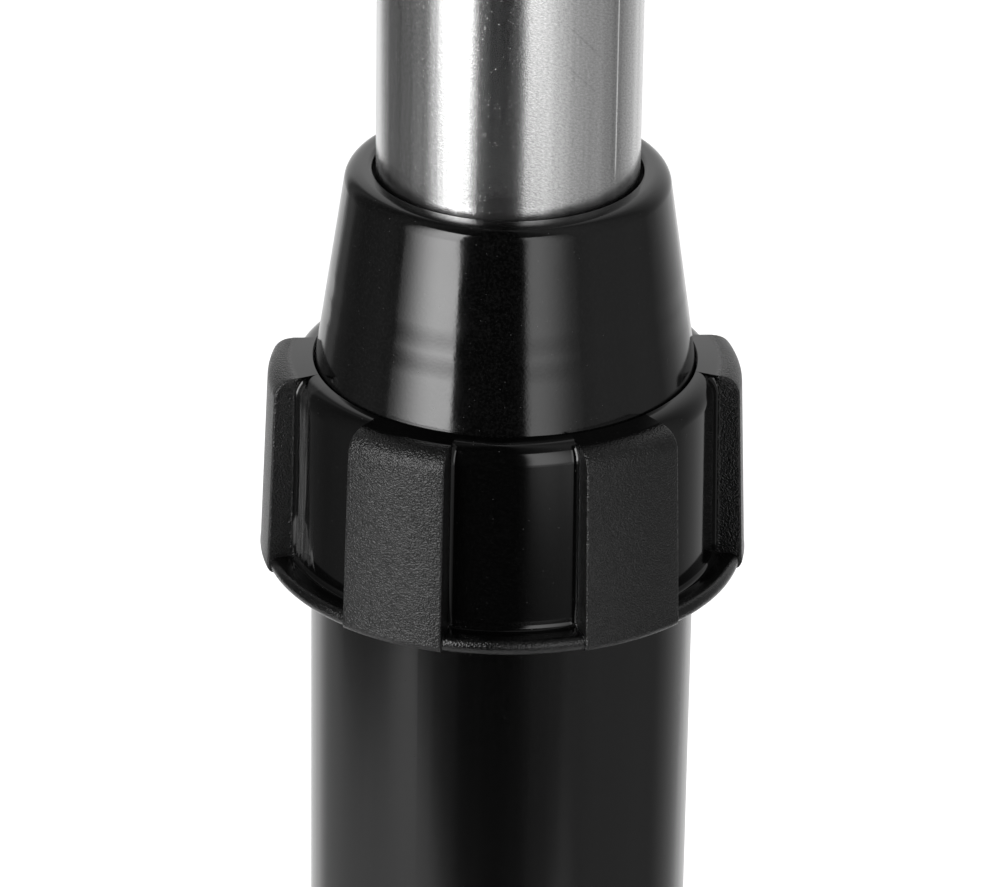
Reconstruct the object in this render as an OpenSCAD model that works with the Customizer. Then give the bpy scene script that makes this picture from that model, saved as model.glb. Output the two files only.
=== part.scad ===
// Telescopic suction wand with a twist-lock clamp. A steel tube slides in a black tube, and a
// six-pad grip nut draws a nose cone and a split collet down into a tapered socket to hold it.
// Z runs up the wand, and the origin is the middle of the lower end face.

/* [Steel tube] */
// Outside diameter of the sliding steel tube
steel_d = 35; // [32:0.5:38]
// Wall of the steel tube
steel_wall = 1; // [0.8:0.1:1.5]
// Length of steel tube above the cone when it is pushed right in
exposed_len = 88; // [60:1:160]
// Length of the narrowed end that a hose cuff goes over
swage_len = 40; // [25:1:55]
// How far the narrowed end is under the tube's diameter
swage_drop = 0.4; // [0.2:0.1:1]

/* [Black tube] */
// Outside diameter of the black tube
barrel_d = 52; // [48:0.5:58]
// Wall of the black tube
barrel_wall = 2.5; // [2:0.1:3]
// Length of the black tube
barrel_len = 268; // [180:1:320]

/* [Grip nut] */
// Height of the nut
nut_h = 28.9; // [28:0.1:34]
// Wall of the nut between its grip pads
nut_wall = 1.95; // [1.8:0.05:3]
// How far the nut's skirt reaches down over the black tube
skirt_cover = 8; // [7:0.5:10]
// Thickness of the lip at the nut's top
lip_t = 1.8; // [1.4:0.1:2.4]
// How far the lip reaches over the cone's flange
lip_w = 1.3; // [1.1:0.1:1.8]
// Slope of the nut's top, in degrees
top_slope = 6; // [4:0.5:9]
// Rounding of the nut's top edge between the pads
shoulder_round = 3; // [2:0.1:3.2]
// Number of grip pads
pad_count = 6; // [4:1:8]
// Direction of the first grip pad, in degrees from +X
pad_phase = 3; // [0:1:59]
// Width of a grip pad at its face
pad_w = 14.8; // [10:0.2:18]
// How far the grip pads stand out of the nut's wall
pad_depth = 3.8; // [2.5:0.1:5]
// Slope of the pads' faces, in degrees
pad_draft = 2.3; // [1:0.1:4]
// Rounding of the pads' top edge
pad_round = 2.8; // [1.5:0.1:3.4]
// Rounding of the pads' upright edges
pad_edge = 0.3; // [0.2:0.1:1]
// Rounding at the foot of the pads' sides and of the wall between them
pad_foot = 0.8; // [0.3:0.1:1]
// Wall of the pads, which are hollow from below
pad_wall = 1.7; // [1.4:0.1:2]
// Rounding of the pads' lower edge
pad_base = 1.2; // [0.6:0.1:1.4]
// Height of the ring that joins the pads at the bottom
rim_h = 2.3; // [2.3:0.1:4]
// How far the ring's edge stays inside the pads' faces
rim_inset = 0.4; // [0.3:0.1:1]
// Rounding of the ring's upper edge
rim_round = 1; // [0.6:0.1:1]
// Rounding of the ring's lower edge
rim_base = 1.3; // [0.8:0.1:1.3]

/* [Nose cone] */
// Height of the cone above the nut
cone_h = 27.6; // [24:0.1:34]
// Slope of the cone's side, in degrees
cone_taper = 8.4; // [6:0.1:8.8]
// Rounding of the cone's mouth on the outside
cone_round = 2.4; // [1.5:0.1:3]
// Wall of the cone's shell
cone_wall = 2.2; // [1.8:0.1:2.4]
// Wall of the cone outside the wiper ring
mouth_wall = 1.8; // [1.4:0.1:2.6]
// Number of ribs inside the cone
cone_ribs = 12; // [8:1:16]
// Thickness of the flange that the nut bears on
flange_t = 2.6; // [2:0.1:3.2]

/* [Collet] */
// Number of slots in the collet's nose
slot_count = 8; // [6:1:12]
// Width of a slot
slot_w = 1.6; // [1:0.1:2.4]
// Height of the tapered nose
nose_h = 11.3; // [9:0.1:12]
// Slope of the tapered nose, in degrees
nose_taper = 10.6; // [8:0.1:12]
// Wall of the nose at its lower end
nose_wall = 2.3; // [1.8:0.1:2.6]
// Wall of the sleeve that reaches up into the cone
sleeve_wall = 2.6; // [2:0.1:2.8]
// Height of the sleeve above the nut
sleeve_h = 13.4; // [12.6:0.1:15]

/* [Socket] */
// How far the thread stands out of the socket's rim
thread_depth = 1; // [0.8:0.1:1.4]
// Height of the socket's plain rim under its thread
socket_rim = 4.6; // [4:0.1:5]
// Length of the socket's spigot in the black tube
spigot_len = 22; // [18:1:40]
// Wall of the socket's spigot
spigot_wall = 2.4; // [2:0.1:2.6]
// Height of the lip seal under the collet
seal_h = 4; // [3:0.1:5]
// Height of the rubber ring that stops the guide bush
bump_h = 3; // [2:0.1:5]

/* [Guide bush] */
// Height of the guide bush
bush_h = 24; // [18:1:40]
// Wall of the bush's sleeve
bush_wall = 1.8; // [1.4:0.1:2]
// Number of lands on the bush, each with a glide strip
strip_count = 6; // [4:1:8]
// Width of a glide strip
strip_w = 5; // [3:0.5:7]

/* [Collar] */
// Height of the collar below the black tube
collar_h = 18; // [16:1:30]
// How far the collar stands out of the black tube
collar_step = 1.5; // [0.8:0.1:3]
// Depth of the tool socket in the collar
tool_depth = 32; // [28:1:34]
// Length of the collar's spigot in the black tube
collar_spigot = 24; // [22:1:40]
// Wall of the collar, which is ribbed from below
collar_wall = 2.2; // [1.8:0.1:2.6]
// Number of ribs in the collar
collar_ribs = 12; // [8:1:16]

/* [Fits] */
// Radial clearance of what slides or turns
run_gap = 0.08; // [0.05:0.01:0.1]
// Clearance between pieces that are fixed together
seat_gap = 0.1; // [0.06:0.01:0.15]
// Radial clearance between the thread and the nut
thread_gap = 0.15; // [0.1:0.01:0.3]
// Radial clearance between the cone's side and the nut's lip
lip_gap = 0.2; // [0.15:0.05:0.4]
// Radial clearance between the steel tube and the cone's mouth
mouth_gap = 0.35; // [0.25:0.05:0.5]
// End play of what the nut carries
play = 0.05; // [0.03:0.01:0.1]

/* [Hidden] */
$fn = 96;

// Radii, from the steel tube outwards
steel_r = steel_d / 2;
steel_bore = steel_r - steel_wall;
slide_r = steel_r + run_gap;
barrel_r = barrel_d / 2;
barrel_bore = barrel_r - barrel_wall;
spigot_r = barrel_bore - seat_gap;
spigot_bore = spigot_r - spigot_wall;
mouth_r = steel_r + mouth_gap;
wiper_w = 2.1;
wiper_r = mouth_r + wiper_w;
wiper_top = 2.5;
cone_r = wiper_r + mouth_wall + (cone_h - wiper_top) * tan(cone_taper);
lip_r = cone_r + lip_gap;
lip_edge = 0.15;

// The nut clears the cone's flange and the black tube, whichever is wider
nut_bore = max(lip_r + lip_w, barrel_r + thread_depth + thread_gap);
flange_r = nut_bore - 0.3;
thread_r = nut_bore - thread_gap;
rim_r = thread_r - thread_depth;
floor_r = nut_bore + nut_wall;
pad_r = floor_r + pad_depth;

// Heights of the fixed pieces
barrel_z = collar_h;
barrel_top = barrel_z + barrel_len;
nut_z = barrel_top - skirt_cover;
nut_top = nut_z + nut_h;
cone_top = nut_top + cone_h;

// Heights of what hangs in the nut, from its lip down
washer_t = 0.5;
washer_w = 1.05;
ring_t = 1;
washer_z = nut_top - lip_t - play - washer_t;
flange_z = washer_z - play - flange_t;
ring_z = flange_z - play - ring_t;
clamp_travel = 1;
socket_top = ring_z - clamp_travel;

// Collet, its tapered seat and the seal pocket below it
collet_r = steel_r + nose_wall;
nose_z = socket_top - nose_h;
collet_flange_t = 2.4;
collet_flange_z = socket_top + clamp_travel;
collet_flange_top = collet_flange_z + collet_flange_t;
nose_top_r = collet_r + (collet_flange_z - nose_z) * tan(nose_taper);
collet_flange_r = nose_top_r + 1.6;
sleeve_r = slide_r + sleeve_wall;
sleeve_top = nut_top + sleeve_h;
bead_h = 1.6;
bead_out = 0.4;
bead_z = sleeve_top - 2 - bead_h;
seat_z = nose_z - 0.6;
back_washer_t = 0.8;
seal_z = seat_z - 0.8 - back_washer_t - seal_h;
web_t = 2.5;
spigot_z = barrel_top - spigot_len;

// Grooves and small fasteners
skirt_groove_z = barrel_top + 1;
skirt_groove_h = socket_rim - 2;
skirt_groove_d = 0.7;
wiper_h = 3;
wiper_z = cone_top - wiper_top - wiper_h;
screw_r = 1.25;
screw_head_r = 2.1;
screw_head_t = 1.2;
screw_sink = 0.15;
screw_bite = 2;
screw_z = seal_z - web_t / 2;
fastener_count = 3;

// Collar
collar_r = barrel_r + collar_step;
collar_top = collar_h + collar_spigot;
collar_groove_z = collar_h + 3.5;
collar_groove_h = 2.2;
collar_groove_d = 1.4;
rivet_end = 7;
collar_rivet_z = collar_top - rivet_end;
rivet_r = 1.6;
rivet_head_r = 3;
rivet_head_t = 0.8;

// Guide bush and the tube that stands in it
bush_ledge = 3;
bush_z = collar_top + 1;
bush_r = barrel_bore - 0.2;
bush_mid_z = bush_z + bush_h / 2;
sleeve_out = slide_r + bush_wall;
land_w = strip_w + 2.4;
strip_t = 0.65;
strip_inset = 3;
steel_z = bush_z + bush_ledge;
steel_top = cone_top + exposed_len;

rib_t = 1.4;
deburr = 0.2;

function arc(c, r, from, to, n = 8) =
    [for (i = [0:n]) c + r * [cos(from + (to - from) * i / n), sin(from + (to - from) * i / n)]];

// Outside of the cone and wall of the tapered seat at a height
function cone_side(z) = cone_r - (z - nut_top) * tan(cone_taper);
function seat_side(z) = collet_r + (z - nose_z) * tan(nose_taper) + seat_gap;

module ring(r_in, r_out, z, h) {
    translate([0, 0, z])
        difference() {
            cylinder(r = r_out, h = h);
            translate([0, 0, -1]) cylinder(r = r_in, h = h + 2);
        }
}

module o_ring(r_in, section, z) {
    translate([0, 0, z])
        rotate_extrude() translate([r_in + section / 2, 0]) circle(d = section, $fn = 24);
}

module around(count, phase = 0) {
    for (i = [0:count - 1]) rotate(phase + i * 360 / count) children();
}

// Round bar that points outwards from the axis, from one radius to another
module radial_bar(r, from, to, z, r_end = 0) {
    translate([from, 0, z]) rotate([0, 90, 0])
        cylinder(r1 = r, r2 = r_end > 0 ? r_end : r, h = to - from, $fn = 32);
}

// ---- fixed pieces ----

module outer_tube() {
    color([0.03, 0.03, 0.03])
        difference() {
            ring(barrel_bore, barrel_r, barrel_z, barrel_len);
            around(fastener_count) {
                radial_bar(screw_r + seat_gap, barrel_bore - 2, barrel_r, screw_z);
                screw_head(seat_gap, 1);
                radial_bar(rivet_r + seat_gap, barrel_bore - 2, barrel_r, collar_rivet_z);
                radial_bar(rivet_head_r + seat_gap, barrel_r - rivet_head_t / 4, barrel_r + 1,
                           collar_rivet_z);
            }
        }
}

// Countersunk head, its face just under the tube's surface
module screw_head(grow = 0, extra = 0) {
    face = barrel_r - screw_sink;
    radial_bar(screw_r + grow, face - screw_head_t, face, screw_z, screw_head_r + grow);
    if (extra > 0) radial_bar(screw_head_r + grow, face, face + extra, screw_z);
}

module socket_screws() {
    color([0.6, 0.6, 0.62])
        around(fastener_count) difference() {
            union() {
                screw_head();
                radial_bar(screw_r, spigot_r - screw_bite, barrel_r - screw_head_t, screw_z);
            }
            translate([barrel_r - screw_head_t + 0.4, 0, screw_z]) rotate([0, 90, 0])
                cylinder(r = screw_r * 0.65, h = 2, $fn = 6);
        }
}

module thread_socket() {
    groove_r = rim_r - skirt_groove_d;
    web_r = steel_r + 0.4;
    color([0.08, 0.08, 0.08])
        difference() {
            rotate_extrude() polygon([
                [spigot_bore, spigot_z],
                [spigot_r - 0.6, spigot_z],
                [spigot_r, spigot_z + 1.5],
                [spigot_r, barrel_top],
                [rim_r, barrel_top],
                [rim_r, skirt_groove_z],
                [groove_r, skirt_groove_z],
                [groove_r, skirt_groove_z + skirt_groove_h],
                [rim_r, skirt_groove_z + skirt_groove_h],
                [rim_r, barrel_top + socket_rim],
                [thread_r, barrel_top + socket_rim + thread_depth],
                [thread_r, socket_top - 0.8],
                [thread_r - 0.8, socket_top],
                [seat_side(socket_top), socket_top],
                [seat_side(seat_z), seat_z],
                [seat_side(seat_z), seal_z],
                [web_r, seal_z],
                [web_r, seal_z - web_t],
                [spigot_bore, seal_z - web_t - 2]
            ]);
            around(fastener_count)
                radial_bar(screw_r + seat_gap, spigot_r - screw_bite - seat_gap, spigot_r + 1,
                           screw_z);
        }
}

module skirt_o_ring() {
    section = nut_bore - rim_r + skirt_groove_d - 0.2;
    color([0.05, 0.05, 0.05])
        o_ring(rim_r - skirt_groove_d + play, section, skirt_groove_z + skirt_groove_h / 2);
}

module lip_seal() {
    r = seat_side(seat_z) - play;
    lip = seal_h * 0.4;
    color([0.04, 0.04, 0.04])
        rotate_extrude() polygon([
            [slide_r, seal_z + play],
            [r, seal_z + play],
            [r, seal_z + seal_h],
            [slide_r + 1, seal_z + seal_h],
            [slide_r + 1, seal_z + seal_h - lip],
            [slide_r + 0.6, seal_z + seal_h - lip - 0.4],
            [slide_r, seal_z + seal_h - lip + 0.6]
        ]);
}

module seal_washer() {
    color([0.7, 0.7, 0.72])
        ring(slide_r + 0.3, seat_side(seat_z) - play, seal_z + seal_h + play, back_washer_t);
}

module bump_ring() {
    tongue_h = 2.5;
    tongue_r = spigot_bore - play;
    tongue_w = 1;
    inner = steel_r + 0.6;
    color([0.05, 0.05, 0.05])
        rotate_extrude() polygon(concat(
            [[inner, spigot_z - bump_h + 0.8]],
            arc([spigot_r - 1, spigot_z - bump_h + 1], 1, -90, 0, 4),
            [[spigot_r, spigot_z - play],
             [tongue_r, spigot_z - play],
             [tongue_r, spigot_z + tongue_h],
             [tongue_r - tongue_w, spigot_z + tongue_h],
             [tongue_r - tongue_w, spigot_z - play],
             [inner, spigot_z - play]]
        ));
}

module tool_collar() {
    edge = 1.5;
    grip_z = 5;
    grip_pitch = 4.4;
    grip_d = 0.6;
    inner = slide_r + collar_wall;
    groove_r = spigot_r - collar_groove_d;
    color([0.03, 0.03, 0.03])
        difference() {
            rotate_extrude() polygon(concat(
                [[slide_r, 1], [slide_r + 1, 0]],
                arc([collar_r - edge, edge], edge, -90, 0, 6),
                // two finger grooves round the collar
                [for (i = [0:1], p = [[0, 0], [grip_d, 0.6], [grip_d, 2], [0, 2.6]])
                    [collar_r - p.x, grip_z + i * grip_pitch + p.y]],
                arc([collar_r - 1, collar_h - 1], 1, 0, 90, 5),
                [[spigot_r, collar_h],
                 [spigot_r, collar_groove_z],
                 [groove_r, collar_groove_z],
                 [groove_r, collar_groove_z + collar_groove_h],
                 [spigot_r, collar_groove_z + collar_groove_h],
                 [spigot_r, collar_top - 1.5],
                 [spigot_r - 0.6, collar_top],
                 [spigot_r - 2, collar_top],
                 [steel_bore, tool_depth + 2],
                 [steel_bore, tool_depth],
                 [slide_r, tool_depth]]
            ));
            // pockets between the ribs, open at the end face
            difference() {
                rotate_extrude() polygon([
                    [inner, -1],
                    [collar_r - collar_wall, -1],
                    [collar_r - collar_wall, collar_h - collar_wall - 1],
                    [inner, collar_h - collar_wall - 1]
                ]);
                around(collar_ribs) translate([inner - 1, -rib_t / 2, -2])
                    cube([collar_r - inner, rib_t, collar_h + 2]);
            }
            around(fastener_count)
                radial_bar(rivet_r + seat_gap, spigot_r - 3.6, spigot_r + 1, collar_rivet_z);
        }
}

module collar_o_ring() {
    color([0.05, 0.05, 0.05])
        o_ring(spigot_r - collar_groove_d + play, collar_groove_d,
               collar_groove_z + collar_groove_h / 2);
}

module collar_rivets() {
    seat = barrel_r - rivet_head_t / 4;
    color([0.1, 0.1, 0.1])
        around(fastener_count) {
            radial_bar(rivet_r, spigot_r - 3.4, seat + rivet_head_t / 2, collar_rivet_z);
            radial_bar(rivet_head_r, seat + play, seat + rivet_head_t / 2, collar_rivet_z);
            radial_bar(rivet_head_r, seat + rivet_head_t / 2, seat + rivet_head_t,
                       collar_rivet_z, rivet_head_r * 0.7);
        }
}

// ---- pieces that rise with the nut ----

module nose_cone() {
    core_r = sleeve_r + 0.15;
    pocket_r = collet_flange_r + 0.15;
    pocket_top = collet_flange_top + seat_gap;
    // the outer rounding meets the sloping side and the level top
    round_z = cone_top - cone_round;
    round_x = cone_side(round_z + cone_round * sin(cone_taper)) - cone_round * cos(cone_taper);
    // the space between the ribs ends where the shell meets the core
    void_top = nut_top + (cone_r - cone_wall - core_r - 0.3) / tan(cone_taper);
    color([0.02, 0.02, 0.02])
        difference() {
            rotate_extrude() polygon(concat(
                [[pocket_r, flange_z],
                 [flange_r, flange_z],
                 [flange_r, flange_z + flange_t],
                 [cone_side(flange_z + flange_t), flange_z + flange_t]],
                arc([round_x, round_z], cone_round, cone_taper, 90, 10),
                arc([mouth_r + 0.7, cone_top - 0.7], 0.7, 90, 180, 6),
                [[mouth_r, wiper_z + wiper_h],
                 [wiper_r, wiper_z + wiper_h],
                 [wiper_r, wiper_z - 2],
                 [core_r, wiper_z - 2.6],
                 [core_r, bead_z + bead_h + 0.6],
                 [core_r + bead_out, bead_z + bead_h + 0.1],
                 [core_r + bead_out, bead_z - 0.1],
                 [core_r, bead_z - 0.6],
                 [core_r, pocket_top],
                 [pocket_r, pocket_top]]
            ));
            difference() {
                rotate_extrude() polygon([
                    [core_r - 1, pocket_top - 0.5],
                    [cone_side(pocket_top) - cone_wall, pocket_top - 0.5],
                    [cone_side(pocket_top) - cone_wall, pocket_top],
                    [cone_side(void_top) - cone_wall, void_top],
                    [core_r - 1, void_top]
                ]);
                around(cone_ribs) translate([core_r - 2, -rib_t / 2, pocket_top - 1])
                    cube([cone_r, rib_t, cone_h + 4]);
            }
        }
}

module wiper_ring() {
    r = wiper_r - play;
    color([0.05, 0.05, 0.05])
        rotate_extrude() polygon([
            [slide_r + 0.8, wiper_z + play],
            [r, wiper_z + play],
            [r, wiper_z + wiper_h - play],
            [slide_r, wiper_z + wiper_h - play],
            [slide_r, wiper_z + wiper_h - 0.8]
        ]);
}

module collet() {
    slot_top = collet_flange_top + 2;
    color([0.85, 0.83, 0.78])
        difference() {
            rotate_extrude() polygon([
                [slide_r, nose_z],
                [collet_r, nose_z],
                [nose_top_r, collet_flange_z],
                [collet_flange_r, collet_flange_z],
                [collet_flange_r, collet_flange_top],
                [sleeve_r, collet_flange_top],
                [sleeve_r, bead_z],
                [sleeve_r + bead_out, bead_z + 0.4],
                [sleeve_r + bead_out, bead_z + bead_h - 0.4],
                [sleeve_r, bead_z + bead_h],
                [sleeve_r, sleeve_top - 0.8],
                [sleeve_r - 0.8, sleeve_top],
                [slide_r, sleeve_top]
            ]);
            around(slot_count) translate([0, -slot_w / 2, nose_z - 1])
                cube([collet_flange_r + 2, slot_w, slot_top - nose_z + 1]);
            // saw cuts from the top let the snap bead spring
            around(slot_count, 180 / slot_count)
                translate([0, -slot_w / 4, slot_top + 2])
                    cube([collet_flange_r, slot_w / 2, sleeve_h + cone_h]);
        }
}

module slip_washer() {
    color([0.7, 0.7, 0.72])
        ring(nut_bore - seat_gap - washer_w, nut_bore - seat_gap, washer_z, washer_t);
}

// ---- nut ----

// Half of a pad's outline, from the rounding at its foot to the one at its edge
function pad_side(r_floor, r_pad) = let (
    half = asin(pad_w / 2 / r_pad),
    foot = half + asin(pad_foot / (r_floor + pad_foot)),
    edge = half - asin(pad_edge / (r_pad - pad_edge))
) concat(
    arc((r_floor + pad_foot) * [cos(foot), sin(foot)], pad_foot, 180 + foot, 270 + half, 5),
    arc((r_pad - pad_edge) * [cos(edge), sin(edge)], pad_edge, 90 + half, edge, 5),
    [for (i = [5:-1:1]) r_pad * [cos(edge * i / 6), sin(edge * i / 6)]]
);

module pad_outline(r_floor, r_pad) {
    side = pad_side(r_floor, r_pad);
    last = len(side) - 1;
    around(pad_count, pad_phase) polygon(concat(
        [[0, 0]], side, [[r_pad, 0]], [for (i = [last:-1:0]) [side[i].x, -side[i].y]]
    ));
}

// Top of the nut in section: a rounding that reaches out to radius wide, the slope above it
// and the lip's edge
function nut_top_edge(wide, round, draft) = let (
    x = wide - round,
    z = nut_top - (x + round * sin(top_slope) - lip_r) * tan(top_slope)
) concat(arc([x, z - round * cos(top_slope)], round, draft, 90 - top_slope, 10),
         [[lip_r + lip_edge, nut_top], [lip_r, nut_top - lip_edge]]);

module grip_nut() {
    slope = tan(pad_draft);
    pad_top_r = pad_r - (nut_h - pad_round) * slope;
    floor_top = floor_r - 0.5;
    rim_edge = pad_r - rim_inset;
    foot_r = floor_r - 0.06 + pad_foot;
    core = lip_r - 1;
    pocket_h = nut_h - pad_round - 2.6;
    color([0.06, 0.06, 0.06])
        difference() {
            union() {
                // wall and shoulder
                rotate_extrude() polygon(concat(
                    [[core, nut_z], [floor_r, nut_z]],
                    nut_top_edge(floor_top, shoulder_round, 1),
                    [[core, nut_top - 1]]
                ));
                // bottom ring
                rotate_extrude() polygon(concat(
                    [[core, nut_z]],
                    arc([rim_edge - rim_base, nut_z + rim_base], rim_base, -90, -1, 8),
                    arc([rim_edge - rim_round, nut_z + rim_h - rim_round], rim_round, 0, 90, 6),
                    arc([foot_r, nut_z + rim_h + pad_foot], pad_foot, 270, 180, 5),
                    [[core, nut_z + rim_h + pad_foot]]
                ));
                // pads, their outline cut off by the slope of their faces and tops
                intersection() {
                    rotate_extrude() polygon(concat(
                        [[core, nut_z]],
                        arc([pad_r - pad_base, nut_z + pad_base], pad_base, -90, 0, 6),
                        nut_top_edge(pad_top_r, pad_round, pad_draft),
                        [[core, nut_top - 1]]
                    ));
                    translate([0, 0, nut_z]) linear_extrude(nut_h)
                        pad_outline(floor_top, pad_r + 0.05);
                }
            }
            // thread bore, groove of the retaining ring
            translate([0, 0, nut_z - 1]) cylinder(r = nut_bore, h = nut_h - lip_t + 1);
            translate([0, 0, ring_z - play]) cylinder(r = nut_bore + 0.6, h = ring_t + 2 * play);
            // the lip's edge follows the cone's side
            translate([0, 0, nut_top - lip_t - 1])
                cylinder(r1 = lip_r + (lip_t + 1) * tan(cone_taper), r2 = lip_r, h = lip_t + 1);
            translate([0, 0, nut_z]) cylinder(r = lip_r, h = nut_h + 1);
            translate([0, 0, nut_z - 0.01])
                cylinder(r1 = nut_bore + 0.8, r2 = nut_bore, h = 0.8);
            // pockets that hollow the pads from below
            intersection() {
                rotate_extrude() polygon([
                    [nut_bore + pad_wall, nut_z - 1],
                    [pad_r - pad_wall, nut_z - 1],
                    [pad_r - pad_wall - pocket_h * slope, nut_z + pocket_h],
                    [nut_bore + pad_wall, nut_z + pocket_h]
                ]);
                around(pad_count, pad_phase)
                    translate([0, -pad_w / 2 + pad_wall + 0.4, nut_z - 1])
                        cube([pad_r, pad_w - 2 * pad_wall - 0.8, nut_h]);
            }
        }
}

module retaining_ring() {
    gap = 8;
    color([0.7, 0.7, 0.72])
        difference() {
            ring(flange_r - 0.7, nut_bore + 0.6 - play, ring_z, ring_t);
            translate([0, -gap / 2, ring_z - 1]) cube([nut_bore + 2, gap, ring_t + 2]);
        }
}

// ---- sliding pieces ----

module steel_tube() {
    drop = swage_drop / 2;
    swage_z = steel_top - swage_len;
    color([0.75, 0.75, 0.77])
        difference() {
            rotate_extrude() polygon([
                [steel_bore, steel_z + deburr],
                [steel_bore + deburr, steel_z],
                [steel_r - deburr, steel_z],
                [steel_r, steel_z + deburr],
                [steel_r, swage_z - 1.5],
                [steel_r - drop, swage_z],
                [steel_r - drop, steel_top - deburr],
                [steel_r - drop - deburr, steel_top],
                [steel_bore - drop + deburr, steel_top],
                [steel_bore - drop, steel_top - deburr],
                [steel_bore - drop, swage_z],
                [steel_bore, swage_z - 1.5]
            ]);
            bush_rivet_holes(steel_bore - 1, steel_r + 1);
        }
}

module bush_rivet_holes(from, to) {
    around(fastener_count, 30) radial_bar(rivet_r + play, from, to, bush_mid_z);
}

module guide_bush() {
    color([0.8, 0.8, 0.8])
        difference() {
            union() {
                // sleeve, with the ledge that the tube's end stands on
                rotate_extrude() polygon([
                    [steel_bore + 0.1, bush_z],
                    [sleeve_out, bush_z],
                    [sleeve_out, bush_z + bush_h],
                    [slide_r + 0.5, bush_z + bush_h],
                    [slide_r, bush_z + bush_h - 0.5],
                    [slide_r, steel_z - play],
                    [steel_bore + 0.1, steel_z - play]
                ]);
                // lands that carry the glide strips
                intersection() {
                    rotate_extrude() polygon([
                        [slide_r + 0.6, bush_z],
                        [bush_r - 0.8, bush_z],
                        [bush_r, bush_z + 0.8],
                        [bush_r, bush_z + bush_h - 0.8],
                        [bush_r - 0.8, bush_z + bush_h],
                        [slide_r + 0.6, bush_z + bush_h]
                    ]);
                    around(strip_count) translate([slide_r, -land_w / 2, bush_z - 1])
                        cube([bush_r, land_w, bush_h + 2]);
                }
            }
            bush_rivet_holes(steel_bore - 1, bush_r + 1);
            around(strip_count)
                translate([bush_r - strip_t - play, -strip_w / 2 - play, bush_z + strip_inset - play])
                    cube([2, strip_w + 2 * play, bush_h - 2 * strip_inset + 2 * play]);
        }
}

module bush_rivets() {
    head_r = 2.6;
    head_t = 0.7;
    color([0.7, 0.7, 0.7])
        around(fastener_count, 30) {
            radial_bar(head_r - 0.5, steel_bore - head_t, steel_bore - 0.25, bush_mid_z,
                       head_r - 0.1);
            radial_bar(rivet_r, steel_bore - head_t + 0.2, sleeve_out, bush_mid_z);
        }
}

module glide_strips() {
    color([0.9, 0.9, 0.88])
        around(strip_count) intersection() {
            translate([bush_r - strip_t, -strip_w / 2, bush_z + strip_inset])
                cube([2, strip_w, bush_h - 2 * strip_inset]);
            translate([0, 0, bush_z]) cylinder(r = barrel_bore - run_gap, h = bush_h, $fn = 360);
        }
}

outer_tube();
thread_socket();
socket_screws();
skirt_o_ring();
lip_seal();
seal_washer();
bump_ring();
tool_collar();
collar_o_ring();
collar_rivets();
nose_cone();
wiper_ring();
collet();
slip_washer();
grip_nut();
retaining_ring();
steel_tube();
guide_bush();
bush_rivets();
glide_strips();
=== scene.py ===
# Telescopic suction wand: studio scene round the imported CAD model.
import math

import bmesh
import bpy
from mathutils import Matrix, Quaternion, Vector


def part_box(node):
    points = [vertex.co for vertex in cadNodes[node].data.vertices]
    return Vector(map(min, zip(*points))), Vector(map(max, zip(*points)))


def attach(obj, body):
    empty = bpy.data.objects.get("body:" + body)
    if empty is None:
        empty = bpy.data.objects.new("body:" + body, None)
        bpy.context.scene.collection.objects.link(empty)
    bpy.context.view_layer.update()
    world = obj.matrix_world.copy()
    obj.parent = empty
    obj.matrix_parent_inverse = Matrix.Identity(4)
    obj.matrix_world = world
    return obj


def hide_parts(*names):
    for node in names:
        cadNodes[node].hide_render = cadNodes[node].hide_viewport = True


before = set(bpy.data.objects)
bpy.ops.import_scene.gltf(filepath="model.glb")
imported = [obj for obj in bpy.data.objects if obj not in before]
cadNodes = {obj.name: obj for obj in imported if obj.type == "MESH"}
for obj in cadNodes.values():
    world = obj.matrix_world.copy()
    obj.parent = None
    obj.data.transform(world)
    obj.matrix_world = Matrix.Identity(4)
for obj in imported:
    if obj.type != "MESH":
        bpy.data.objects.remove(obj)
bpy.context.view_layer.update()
scene = bpy.context.scene
scene.view_settings.view_transform = "Standard"

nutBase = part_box("grip_nut")[0].z

# camera
cameraSetup = {
    "targetRise": 0.01558,   # above the underside of the grip nut
    "sideways": -0.00052,
    "distance": 0.8397,
    "elevation": 25.95,
    "roll": 0.859,           # the wand leans a little to the right
    "lens": 224.07,
    "clip": (0.01, 50),
}


def placeCamera(setup):
    data = bpy.data.cameras.new("studioCamera")
    data.lens = setup["lens"]
    data.clip_start, data.clip_end = setup["clip"]
    camera = bpy.data.objects.new("studioCamera", data)
    scene.collection.objects.link(camera)
    rise = math.radians(setup["elevation"])
    away = Vector((0, -math.cos(rise), math.sin(rise)))
    target = Vector((setup["sideways"], 0, nutBase + setup["targetRise"]))
    camera.location = target + away * setup["distance"]
    lean = Quaternion(away, math.radians(setup["roll"]))
    camera.rotation_mode = "QUATERNION"
    camera.rotation_quaternion = lean @ (-away).to_track_quat("-Z", "Y")
    scene.camera = camera


placeCamera(cameraSetup)
print("camera placed")

# studio: floor, room and softboxes
studio = {
    "floorLeft": -0.5,
    "floorRight": 0.3,
    "floorFront": -0.36,
    "floorBack": 2.0,
    "floorColor": 0.82,
    "floorGlow": 0.8,        # as the camera sees it
    "floorShine": 0.6,       # as glossy surfaces see it, behind the wand
    "shineFrom": 128,        # degrees from the camera's side
    "shineFull": 142,
    "lampDistance": 0.8,
}

# brightness of the room round the wand: degrees from the camera's side, level
roomRing = [
    (-180, 1.0), (-165, 0.95), (-150, 0.85), (-141, 0.20), (-132, 0.24), (-126, 0.10),
    (-110, 0.085), (-84, 0.18), (-74, 0.13), (-30, 0.01), (8, 0.01), (20, 0.10), (34, 0.18),
    (48, 0.32), (60, 0.37), (75, 0.34), (90, 0.31), (98, 0.27), (108, 0.21), (122, 0.36),
    (136, 0.60), (150, 0.78), (165, 0.90), (180, 1.0),
]

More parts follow.
